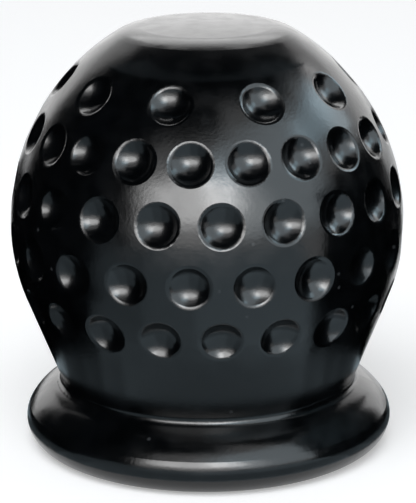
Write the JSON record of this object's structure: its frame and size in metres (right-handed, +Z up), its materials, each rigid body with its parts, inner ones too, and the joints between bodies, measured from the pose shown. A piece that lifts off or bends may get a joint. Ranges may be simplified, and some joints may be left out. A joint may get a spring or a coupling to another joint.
{
  "type": "tow ball cover",
  "caption": "Soft moulded cover that pushes over a tow ball: a hollow dimpled ball with a nearly flat crown, drawn in to a neck above a flared foot, open at the bottom.",
  "frame": {"origin": "centre of the foot's underside", "axes": "+Z up along the part's axis, from the open mouth to the crown; -Y is the side that faces the camera in the picture"},
  "size_m": [0.064, 0.064, 0.0694],
  "materials": {
    "cover_rubber": "black, moulded, semi-gloss"
  },
  "bodies": {
    "root": {"cover": "cover_rubber"}
  },
  "joints": []
}
